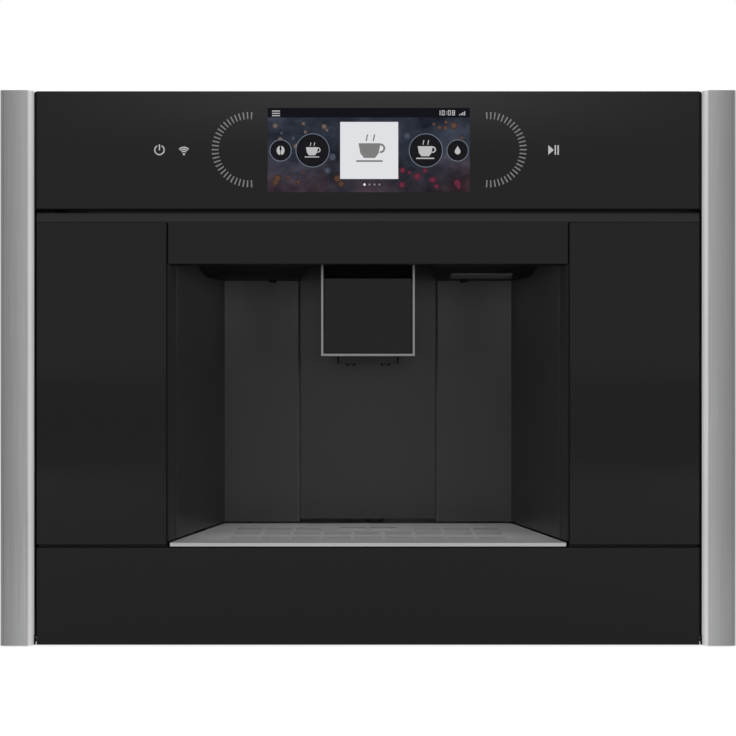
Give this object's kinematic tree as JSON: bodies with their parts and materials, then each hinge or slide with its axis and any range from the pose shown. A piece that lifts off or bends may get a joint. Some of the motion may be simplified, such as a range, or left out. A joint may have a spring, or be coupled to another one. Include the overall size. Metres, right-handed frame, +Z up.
{
  "type": "built-in coffee machine",
  "caption": "Built-in coffee machine with steel side trims, a black glass control panel and a hinged glass door round an open cup niche with sliding outlet and drip grate.",
  "frame": {"origin": "bottom centre of the bounding box, on the shelf that the glides stand on", "axes": "+X to the right as seen from the front, +Y to the rear, +Z up; the glass front faces -Y"},
  "size_m": [0.596, 0.377, 0.451],
  "materials": {
    "left_trim": "brushed",
    "right_trim": "brushed",
    "control_panel_glass": "polished, black behind",
    "door_left_glass": "polished, black behind",
    "door_right_glass": "polished, black behind",
    "door_lintel_glass": "polished, black behind",
    "door_bottom_glass": "polished, black behind",
    "door_top_strip": "satin black",
    "front_frame": "satin black",
    "base_pan": "zinc coated",
    "left_side_panel": "zinc coated",
    "right_side_panel": "zinc coated",
    "top_panel": "zinc coated",
    "rear_panel": "zinc coated",
    "control_panel_carrier": "satin",
    "door_frame": "satin",
    "niche_ceiling": "satin",
    "outlet_housing": "satin",
    "nozzle_block": "satin",
    "mains_switch_body": "satin",
    "power_inlet": "satin",
    "display_module": "gloss",
    "touch_boards": "solder mask",
    "power_board": "solder mask",
    "niche_left_wall": "satin gloss",
    "niche_right_wall": "satin gloss",
    "niche_back_wall": "satin gloss",
    "niche_centre_cover": "satin gloss",
    "outlet_face": "satin gloss",
    "niche_lamp_lens": "frosted",
    "drip_grate": "brushed",
    "outlet_frame": "satin",
    "outlet_rails": "ground",
    "brew_spindle": "ground",
    "hinge_brackets": "zinc coated",
    "door_striker": "zinc coated",
    "casing_screws": "zinc coated",
    "magnet_catch": "moulded",
    "drip_tray": "moulded",
    "grounds_container": "moulded",
    "water_tank_lid": "moulded",
    "powder_drawer": "moulded",
    "brew_frame": "moulded",
    "bean_hopper_lid": "moulded",
    "water_tank": "clear",
    "bean_hopper": "smoked",
    "tray_float": "moulded",
    "grinder_housing": "cast",
    "thermoblock": "cast",
    "lower_burr": "hardened",
    "motor_pinion": "machined",
    "grinder_motor": "satin",
    "brew_motor": "satin",
    "brew_chamber": "moulded",
    "flow_meter": "moulded",
    "brew_piston": "moulded",
    "pump": "moulded",
    "water_hoses": "silicone",
    "base_glides": "moulded",
    "mains_rocker": "gloss"
  },
  "bodies": {
    "chassis": {"left_trim": "left_trim", "right_trim": "right_trim", "control_panel_glass": "control_panel_glass", "front_frame": "front_frame", "base_pan": "base_pan", "left_side_panel": "left_side_panel", "right_side_panel": "right_side_panel", "top_panel": "top_panel", "rear_panel": "rear_panel", "control_panel_carrier": "control_panel_carrier", "niche_ceiling": "niche_ceiling", "mains_switch_body": "mains_switch_body", "power_inlet": "power_inlet", "display_module": "display_module", "touch_boards": "touch_boards", "power_board": "power_board", "niche_left_wall": "niche_left_wall", "niche_right_wall": "niche_right_wall", "niche_back_wall": "niche_back_wall", "niche_centre_cover": "niche_centre_cover", "niche_lamp_lens": "niche_lamp_lens", "outlet_rails": "outlet_rails", "hinge_brackets": "hinge_brackets", "casing_screws": "casing_screws", "magnet_catch": "magnet_catch", "drip_tray": "drip_tray", "grounds_container": "grounds_container", "water_tank_lid": "water_tank_lid", "powder_drawer": "powder_drawer", "brew_frame": "brew_frame", "bean_hopper_lid": "bean_hopper_lid", "water_tank": "water_tank", "bean_hopper": "bean_hopper", "grinder_housing": "grinder_housing", "thermoblock": "thermoblock", "grinder_motor": "grinder_motor", "brew_motor": "brew_motor", "brew_chamber": "brew_chamber", "flow_meter": "flow_meter", "pump": "pump", "water_hoses": "water_hoses", "base_glides": "base_glides"},
    "door": {"door_frame": "door_frame", "door_left_glass": "door_left_glass", "door_right_glass": "door_right_glass", "door_lintel_glass": "door_lintel_glass", "door_bottom_glass": "door_bottom_glass", "door_top_strip": "door_top_strip", "door_striker": "door_striker"},
    "outlet": {"outlet_housing": "outlet_housing", "outlet_frame": "outlet_frame", "outlet_face": "outlet_face", "nozzle_block": "nozzle_block"},
    "grate": {"drip_grate": "drip_grate"},
    "float": {"tray_float": "tray_float"},
    "rocker": {"mains_rocker": "mains_rocker"},
    "spindle": {"brew_spindle": "brew_spindle"},
    "piston": {"brew_piston": "brew_piston"},
    "burr": {"lower_burr": "lower_burr"},
    "pinion": {"motor_pinion": "motor_pinion"}
  },
  "joints": [
    {"name": "door_swing", "type": "hinge", "parent": "chassis", "child": "door", "pos_m": [-0.2585, -0.177, 0.178], "axis": [0, 0, -1], "range_deg": [0, 110]},
    {"name": "outlet_slide", "type": "slide", "parent": "chassis", "child": "outlet", "axis": [0, 0, 1], "range_m": [-0.08, 0]},
    {"name": "grate_lift", "type": "slide", "parent": "chassis", "child": "grate", "axis": [0, 0, 1], "range_m": [0, 0.05]},
    {"name": "float_rise", "type": "slide", "parent": "chassis", "child": "float", "axis": [0, 0, 1], "range_m": [0, 0.01]},
    {"name": "rocker_tilt", "type": "hinge", "parent": "chassis", "child": "rocker", "pos_m": [0.215, -0.1625, 0.3415], "axis": [-1, 0, 0], "range_deg": [0, 14]},
    {"name": "spindle_turn", "type": "hinge", "parent": "chassis", "child": "spindle", "pos_m": [0.248, -0.113, 0.12], "axis": [0, 0, 1], "range_deg": [0, 540]},
    {"name": "piston_travel", "type": "slide", "parent": "chassis", "child": "piston", "axis": [0, 0, 1], "range_m": [-0.03, 0]},
    {"name": "burr_spin", "type": "hinge", "parent": "chassis", "child": "burr", "pos_m": [0.221, -0.074, 0.2], "axis": [0, 0, 1], "continuous": true},
    {"name": "pinion_spin", "type": "hinge", "parent": "chassis", "child": "pinion", "pos_m": [0.221, -0.0364, 0.2], "axis": [0, 0, 1], "continuous": true}
  ],
  "couplings": [
    {"joint": "piston_travel", "follows": "spindle_turn", "m_per_rad": -0.003183},
    {"joint": "pinion_spin", "follows": "burr_spin", "ratio": -4}
  ]
}
